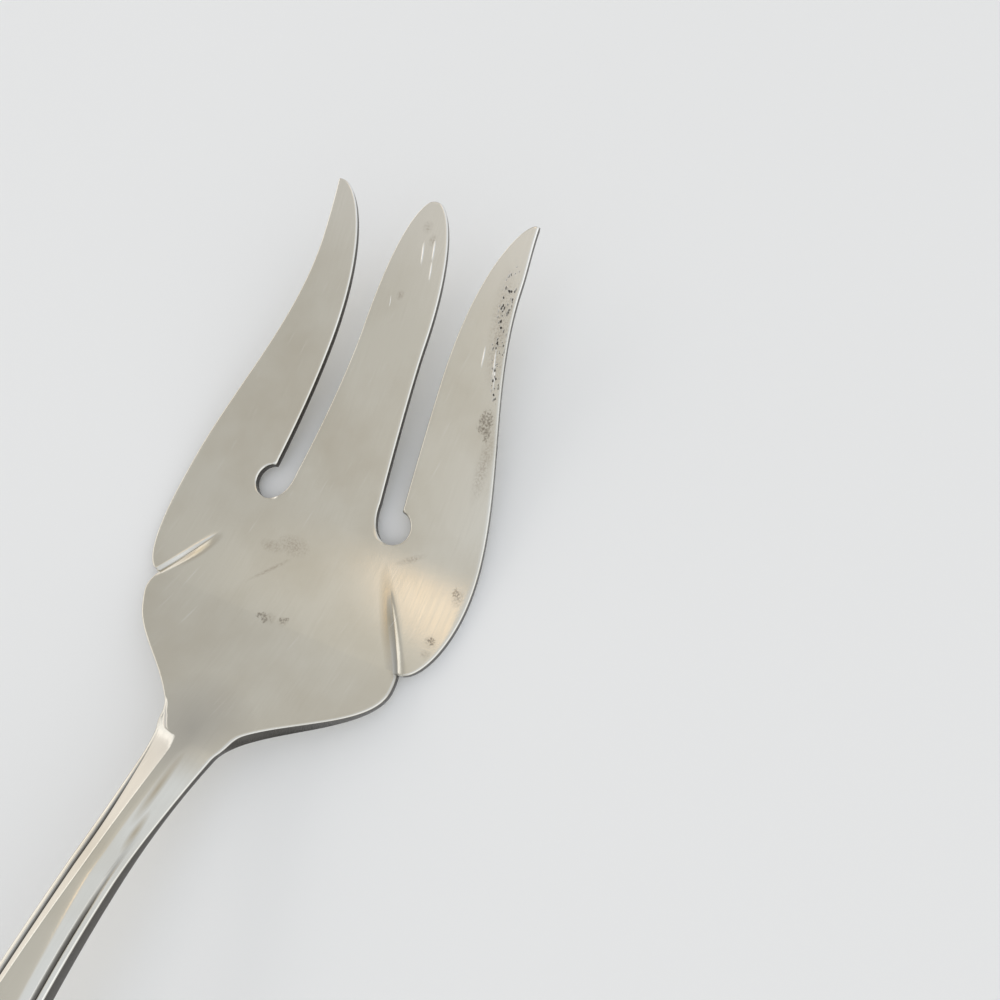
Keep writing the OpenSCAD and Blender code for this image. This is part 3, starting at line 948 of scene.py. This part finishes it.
stain_places = [(17.4, 34.8, 1.5, 2.4, 6), (19.0, 29.5, 1.2, 6, 5), (14.8, 47, 1.8, 9, 11),
                (-0.6, 0.1, 1.4, 1, 0), (1.5, 0.4, 0.9, 0.8, 0), (-4.1, 6.2, 0.4, 3.8, -41),
                (-2.6, 10.4, 3, 1.7, 0), (-5.5, 9.3, 2.2, 1.1, 0), (14.2, 14.5, 0.6, 2.4, -55),
                (22.3, 12, 1, 1.4, 0), (21.2, 5.5, 1, 1, 0), (21.4, 3.7, 0.8, 0.8, 0),
                (-0.1, 57.2, 0.9, 1, 0), (1.2, 55.7, 0.7, 1, 0), (-1, 47.7, 0.7, 0.8, 0)]
blots = noise(tree, place, cell=0.3 * MM, detail=4.0)
stain = maths(tree, "MULTIPLY", marks(stain_places), ramp(tree, blots, 0.42, 0.64, low=0.25))
# Smaller, darker spots: the noise on top of a level mask is cut off, which leaves ragged flecks
spot_places = [(-1.7, 0.1, 1.3, 0.8, 20), (-0.9, -0.3, 0.8, 0.7, 0), (1.3, 0.5, 0.9, 0.5, -30),
               (1.9, 0.9, 0.6, 0.5, 0), (17.2, 34.9, 1.7, 2.6, 0), (18, 33.4, 0.8, 1.6, 0),
               (21.8, 12.6, 0.9, 1.1, 0), (21.4, 5.6, 0.9, 0.9, 0)]
spot_level = 0.55
level = maths(tree, "MINIMUM", marks(spot_places), spot_level)
spots = ramp(tree, maths(tree, "ADD", level, blots), 0.9, 1.25)
# Painted shade: a grey darkening on the neck, and a warm brown one beside the pleats and along the right
# bevel's inner edge
painted_neck_shade = marks([(0, -15.5, 8, 7, 0)])
painted_fold_shade = marks([(14.8, 6.2, 1.4, 8, 31), (-15.5, 4.8, 1.1, 4.2, -31),
              (1.1, -22.4, 0.6, 4.5, 0), (1.9, -27, 0.5, 2.5, 0)])
print("stains:", len(stain_places), "soft ones and", len(spot_places), "dark spots")

# %% Pits and scratches
# Pits about 0.2 mm wide and 0.4 mm long, with ragged edges, in clumps of a millimetre or two
pit_places = [(14.4, 51.2, 1.2, 5, 3), (15.3, 45.2, 1.1, 5, 14), (16.7, 40, 0.7, 3, 18)]
pit_ragged = -0.75
dots = add_node(tree, "ShaderNodeTexVoronoi",
                inputs={"Vector": stretch((0.4, 0.7, 0.7), turn=11), "Scale": 1.0}).outputs["Distance"]
ragged = ramp(tree, maths(tree, "MULTIPLY_ADD", blots, pit_ragged, dots), 0.02, -0.12)
clumps = ramp(tree, noise(tree, place, cell=1.2 * MM, detail=1.0), 0.38, 0.46)
strip = ramp(tree, marks(pit_places), 0.05, 0.4)
pits = maths(tree, "MULTIPLY", ragged, maths(tree, "MULTIPLY", strip, clumps))

# Scratches: crests 0.15 mm wide and up to 6 mm long, a little across the strokes
gleam_places = [(0.3, 53.8, 0.15, 1.7, 12), (1.8, 54.5, 0.15, 1.6, 10), (2.3, 51.8, 0.12, 1.4, 10),
                (-2.2, 46.6, 0.06, 0.8, 10), (13.8, 43, 0.12, 1.6, 8), (15.6, 42.6, 0.12, 2.4, 13),
                (16.2, 41, 0.1, 2, 15)]
crests = noise(tree, stretch((0.15, 5, 5), turn=-9), cell=1.0, detail=0.0)
gleams = marks(gleam_places)
# The scratches are whitened, partly as a painted glint where they catch the light
scratch_and_glint = maths(tree, "MAXIMUM", ramp(tree, crests, 0.78, 0.88, high=0.4), gleams)
print("wear: a strip of pits, fine scratches and", len(gleam_places), "bright ones")

# %% [markdown]
# ## Colour, roughness and bump together
# The layers go on in this order: plate and buffing, painted shade on the neck and beside the folds, stains,
# scratches whitened partly as painted glints, pits, then painted shade on the walls and tarnish with
# painted shade in the recesses. Dull layers are rougher. Four gentle bumps are enough, for the grain, the
# strokes, the bright scratches and the pits, because the real relief is in the mesh.

# %% Colour, roughness and bump
recess = add_node(tree, "ShaderNodeAttribute", {"attribute_name": "recess"}).outputs["Fac"]
painted_wall_shade = add_node(tree, "ShaderNodeAttribute", {"attribute_name": "painted_wall_shade"}).outputs["Fac"]

# Each layer has a mask, the share of the metal that it hides, and a colour
surface = buffed
# The first two layers are painted shade, the scratches are whitened partly as a painted glint, and the last
# two are painted shade on the walls and tarnish with painted shade in the recesses
for mask, cover, code in [(painted_neck_shade, 0.6, "#B4B2AD"), (painted_fold_shade, 0.85, "#AD9E80"), (stain, 0.5, "#857663"),
                          (spots, 0.7, "#6A6051"), (scratch_and_glint, 0.8, "#FAF9F6"), (pits, 0.9, "#2B241D"),
                          (painted_wall_shade, 0.9, "#3C3938"), (recess, 0.85, "#2E2822")]:
    surface = coat(tree, surface, code, maths(tree, "MULTIPLY", mask, cover))
tree.links.new(surface, shader.inputs["Base Color"])

# The strokes vary the roughness a little, and each dull layer adds to it
rough = ramp(tree, strokes, 0.3, 0.7, low=0.15, high=0.19)
for mask, more in [(stain, 0.12), (pits, 0.4), (painted_wall_shade, 0.1), (recess, 0.35)]:
    rough = maths(tree, "MULTIPLY_ADD", mask, more, rough)
tree.links.new(rough, shader.inputs["Roughness"])

# Each bump has a height map, a full height in millimetres, a strength, and whether it goes in. It starts
# from the normal of the bump before it, which the first one doesn't have
normal = {}
for height, rise, strength, sunk in [(grain, 0.009, 0.5, False), (strokes, 0.0003, 0.5, False),
                                     (gleams, 0.06, 1.0, False), (pits, 0.05, 0.8, True)]:
    inputs = {"Height": height, "Distance": rise * MM, "Strength": strength, **normal}
    bump = add_node(tree, "ShaderNodeBump", {"invert": sunk}, inputs)
    normal = {"Normal": bump.outputs["Normal"]}
tree.links.new(normal["Normal"], shader.inputs["Normal"])
mesh.materials.append(silver)
print("silver:", len(tree.nodes), "nodes")

# %% [markdown]
# ## The floor
# A sheet of matt pale paper, large enough to fill the view. A plane is all that it needs: its colour
# and the soft shadow on it set off the bright metal.

# %% The floor
floor_w = 12.0
bpy.ops.mesh.primitive_plane_add(size=floor_w)
floor = bpy.context.object
floor.name = "floor"
paper = bpy.data.materials.new("floor_paper_matt")
paper.use_nodes = True
sheet = paper.node_tree.nodes["Principled BSDF"]
sheet.inputs["Base Color"].default_value = colour("#F3F2EF")
sheet.inputs["Roughness"].default_value = 0.9
floor.data.materials.append(paper)
print(f"floor: matt paper, {floor_w:.0f} m square")

# %% [markdown]
# ## The room
# Polished metal has little colour of its own: it shows the room. So the room matters more than lamps.
# It is a plain soft world, brighter and cooler towards one side, with a soft glow on the ceiling round
# the lamp and the floor's own grey at the horizon. A photographed room would put its own shapes on the
# metal, and a few mixed colours don't.

# %% The room
world = bpy.data.worlds.new("soft_room")
bpy.context.scene.world = world
world.use_nodes = True
room = world.node_tree
direction = add_node(room, "ShaderNodeTexCoord").outputs["Generated"]


def towards(aim):
    """How nearly a direction points to an aim: the dot product of the two."""
    return add_node(room, "ShaderNodeVectorMath", {"operation": "DOT_PRODUCT"},
                    {0: direction, 1: aim}).outputs["Value"]


bright_side = towards((1, -0.1, 0))
lamp_side = towards((-0.34, 0.2, 0.92))
height = add_node(room, "ShaderNodeSeparateXYZ", inputs={"Vector": direction}).outputs["Z"]
walls = coat(room, colour("#BEBDBA"), "#EBE9E5", ramp(room, bright_side, -0.7, 0.1))
cool = coat(room, walls, "#E9EEF6", ramp(room, bright_side, -0.3, -0.05))
ceiling = coat(room, cool, "#FFF9EC", ramp(room, lamp_side, 0.95, 1.0, high=0.2, kind="SMOOTHSTEP"))
horizon = coat(room, ceiling, "#DEDEDD", ramp(room, height, 0.18, 0.02, kind="SMOOTHSTEP"))
room.links.new(horizon, room.nodes["Background"].inputs["Color"])
room.nodes["Background"].inputs["Strength"].default_value = 1.0
print("room:", len(room.nodes), "nodes")

# %% [markdown]
# ## The lamps
# A long window softbox on the bright side draws white lines along the edges. A weaker reflector and a
# thin strip opposite light the left bevel and the left edges, and a warm lamp far overhead leaves a
# glow on one lobe. Area lamps show in the metal as shapes with soft rims, which point lamps don't.

# %% The lamps
def softbox(name, place, aim, size, watts, code):
    """A rectangular area lamp at a place, turned to an aim; sizes and places in millimetres."""
    lamp = bpy.data.lights.new(name, "AREA")
    lamp.shape = "RECTANGLE"
    lamp.size = size[0] * MM
    lamp.size_y = size[1] * MM
    lamp.energy = watts
    lamp.color = colour(code)[:3]
    box = bpy.data.objects.new(name, lamp)
    turn = (Vector(aim) - Vector(place)).to_track_quat("-Z", "Y")
    box.matrix_world = Matrix.LocRotScale(Vector(place) * MM, turn, None)
    bpy.context.scene.collection.objects.link(box)


softbox("window", (1450, head_y - 670, 1120), (0, head_y, 0), (2700, 1800), 6.2, "#FFFFFF")
softbox("reflector", (-1680, head_y + 120, 600), (0, head_y - 20, 0), (2100, 960), 3.3, "#FFF5F0")
softbox("strip", (-1545, head_y - 200, 1220), (0, head_y, 0), (2100, 400), 2.1, "#FFFFFF")
softbox("lamp", (-700, head_y + 230, 2390), (18, head_y + 9, 0), (700, 260), 0.34, "#FFD7A1")
print("lamps: a window, a reflector, a strip and a warm lamp")

# %% [markdown]
# ## The camera
# The view is from above and from the right of the head, close enough for some perspective, and turned
# so that the fork points up and the stem leaves at the lower left.

# %% The camera
# Where it stands, what it looks at, its turn, its lens and sensor, and the nearest that it sees, in metres
eye = Vector((48.7, head_y - 2.1, 96.8)) * MM
target = Vector((22.25, head_y + 26.6, 2.0)) * MM
roll = np.radians(-21.0)
lens_mm = 27.04
sensor_mm = 36.0
nearest = 0.005
lens = bpy.data.cameras.new("camera")
lens.lens = lens_mm
lens.sensor_width = sensor_mm
lens.clip_start = nearest
camera = bpy.data.objects.new("camera", lens)
turn = (target - eye).to_track_quat("-Z", "Y").to_matrix().to_4x4()
camera.matrix_world = Matrix.Translation(eye) @ turn @ Matrix.Rotation(roll, 4, "Z")
bpy.context.scene.collection.objects.link(camera)
bpy.context.scene.camera = camera
bpy.context.scene.view_settings.view_transform = "Standard"
print("camera:", [tuple(round(v, 4) for v in row) for row in camera.matrix_world])
